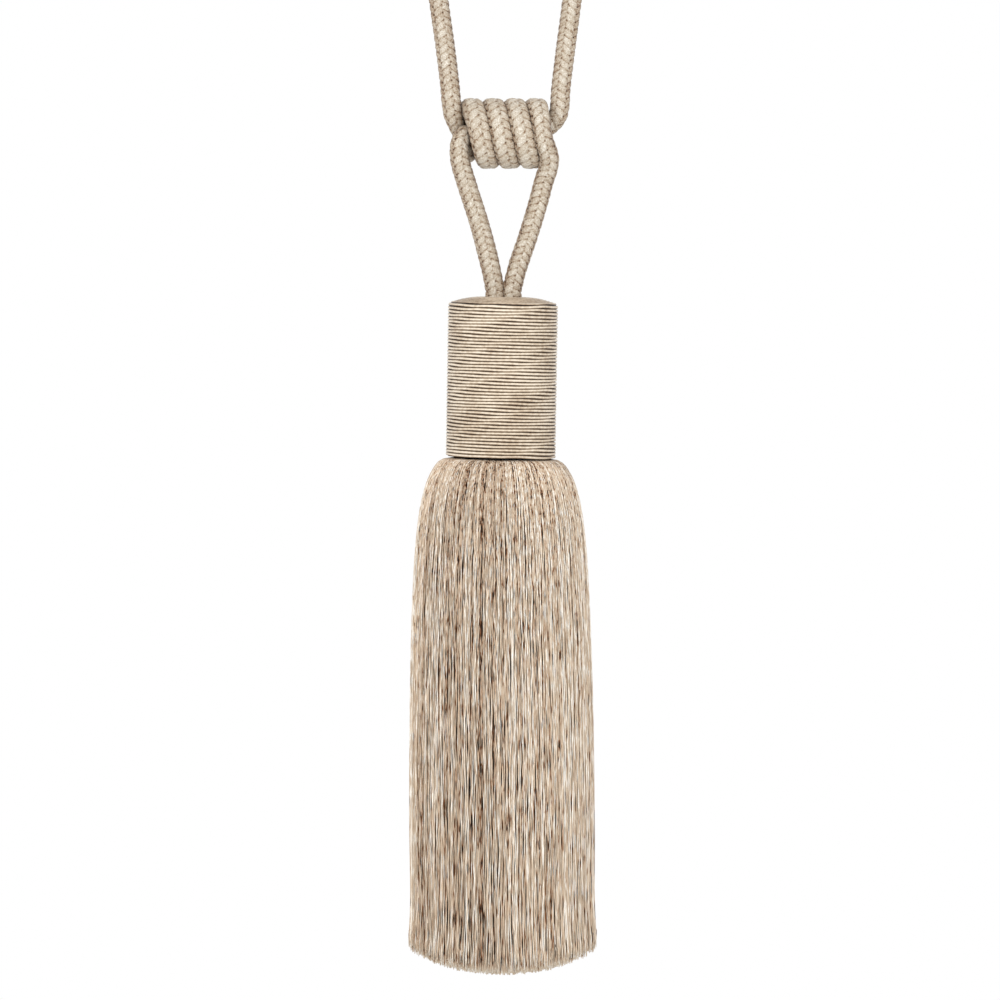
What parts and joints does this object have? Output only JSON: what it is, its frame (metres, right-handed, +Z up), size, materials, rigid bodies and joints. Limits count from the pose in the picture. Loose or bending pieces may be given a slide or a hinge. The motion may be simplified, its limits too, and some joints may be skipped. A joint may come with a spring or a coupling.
{
  "type": "curtain tassel on a knotted rope",
  "caption": "Tassel with a cylindrical head wound in fine cord and a long full fringe, hung from a braided rope that closes in a barrel knot under a loop.",
  "frame": {"origin": "the hang point: the underside of the rope's arch at its middle, where a hook or a rod bears", "axes": "+Z up along the hanging tassel, -Y towards the viewer, +X to the viewer's right"},
  "size_m": [0.0835, 0.0836, 0.4752],
  "materials": {
    "braided_rope": "braided satin yarn, beige with brown in the valleys",
    "wound_cord": "fine smooth cord wound in even turns, beige",
    "fringe_yarn": "fine hanging yarn, cream to tan with dark gaps"
  },
  "bodies": {
    "root": {"cord": "braided_rope", "head": "wound_cord", "skirt": "fringe_yarn"}
  },
  "joints": []
}
